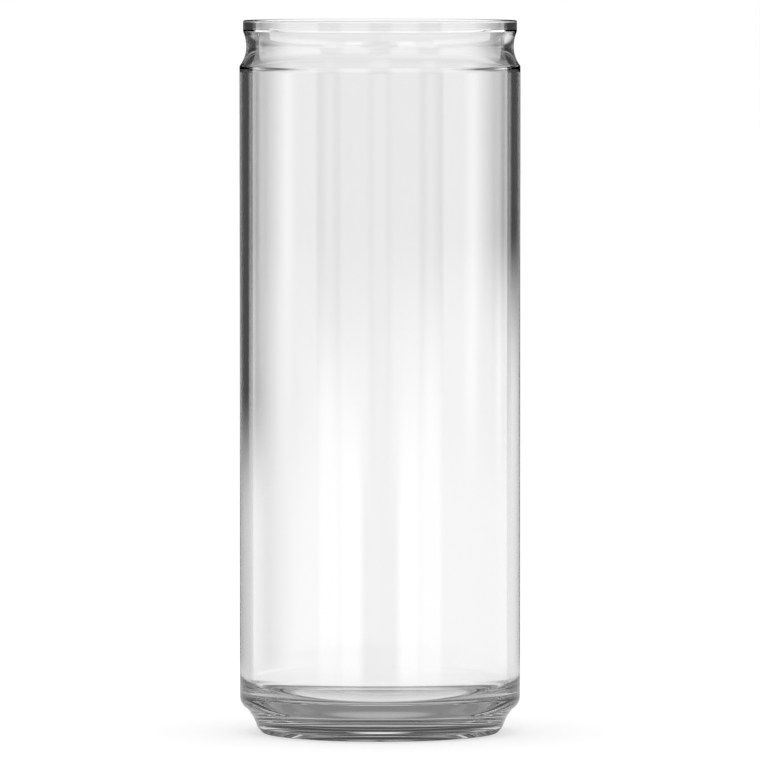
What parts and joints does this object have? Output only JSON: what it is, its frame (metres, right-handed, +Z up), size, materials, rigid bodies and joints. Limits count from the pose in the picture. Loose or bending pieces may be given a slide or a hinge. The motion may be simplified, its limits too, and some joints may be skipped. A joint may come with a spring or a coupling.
{
  "type": "drinking glass",
  "caption": "Slim clear drinking glass in the shape of a drinks can: upright lip, necked-in throat, straight body, rounded heel and thick stepped foot.",
  "frame": {"origin": "centre of the base, on the plane that the glass stands on", "axes": "+Z up along the axis of the glass, towards the mouth; X and Y are alike because the glass is turned"},
  "size_m": [0.058, 0.058, 0.1473],
  "materials": {
    "clear_glass": "fire polished clear soda glass"
  },
  "bodies": {
    "root": {"glass_tumbler": "clear_glass"}
  },
  "joints": []
}
